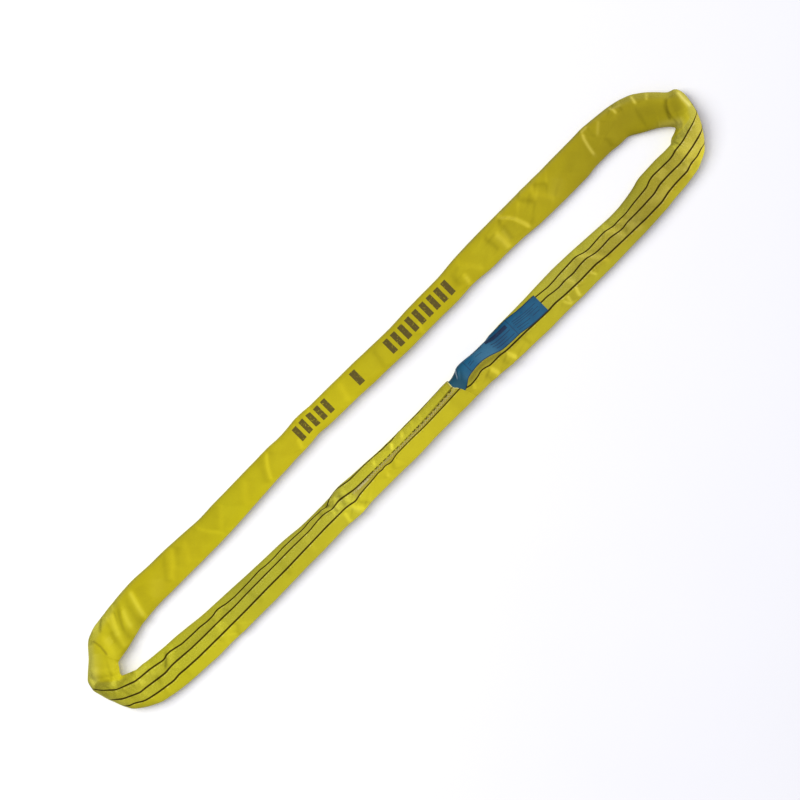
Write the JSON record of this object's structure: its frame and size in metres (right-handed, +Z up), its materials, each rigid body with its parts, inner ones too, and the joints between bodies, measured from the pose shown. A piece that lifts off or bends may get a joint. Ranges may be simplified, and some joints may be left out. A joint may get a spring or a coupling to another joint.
{
  "type": "round sling",
  "caption": "Endless round sling: a woven tubular sleeve, closed by a stitched lap, around a hank of load-bearing yarn, laid out as a long flat loop.",
  "frame": {"origin": "middle of the loop's box, on the surface it lies on", "axes": "+X along the loop, towards the eye the label points to; +Y across, towards the plain leg; +Z up, away from the surface"},
  "size_m": [1.4882, 0.213, 0.037],
  "materials": {
    "sleeve": "woven polyester, slightly glossy",
    "marker_stripe": "woven polyester warp yarn, dark",
    "core_yarn": "raw polyester multifilament, satin",
    "tape": "woven tape",
    "dark_thread": "bonded polyester thread",
    "light_thread": "bonded polyester thread",
    "hem": "heat-sealed woven edge",
    "label": "printed satin label, slightly glossy"
  },
  "bodies": {
    "legs": {"sleeve_plain_leg": "sleeve", "sleeve_outer_end": "sleeve", "sleeve_inner_end": "sleeve", "core_legs": "core_yarn", "core_join_tape": "tape", "stripes_legs": "marker_stripe", "seam_zigzag_thread": "dark_thread", "seam_light_thread": "light_thread", "lap_hem": "hem", "label_root": "label"},
    "left_eye": {"sleeve_left_eye": "sleeve", "core_left_eye": "core_yarn", "stripes_left_eye": "marker_stripe"},
    "right_eye": {"sleeve_right_eye": "sleeve", "core_right_eye": "core_yarn", "stripes_right_eye": "marker_stripe"},
    "label_lower": {"label_lower": "label"},
    "label_upper": {"label_upper": "label"}
  },
  "joints": [
    {"name": "fold_left_eye", "type": "hinge", "parent": "legs", "child": "left_eye", "pos_m": [-0.385, 0, -0.0005], "axis": [0, -1, 0], "range_deg": [0, 179.5]},
    {"name": "fold_right_eye", "type": "hinge", "parent": "legs", "child": "right_eye", "pos_m": [0.385, 0, -0.0005], "axis": [0, 1, 0], "range_deg": [0, 179.5]},
    {"name": "label_lift", "type": "hinge", "parent": "legs", "child": "label_lower", "pos_m": [0.0992, -0.0615, 0.0263], "axis": [0, -1, 0], "range_deg": [0, 150]},
    {"name": "label_fold", "type": "hinge", "parent": "label_lower", "child": "label_upper", "pos_m": [0.233, -0.0605, 0.0245], "axis": [0, -1, 0], "range_deg": [0, 170]}
  ]
}
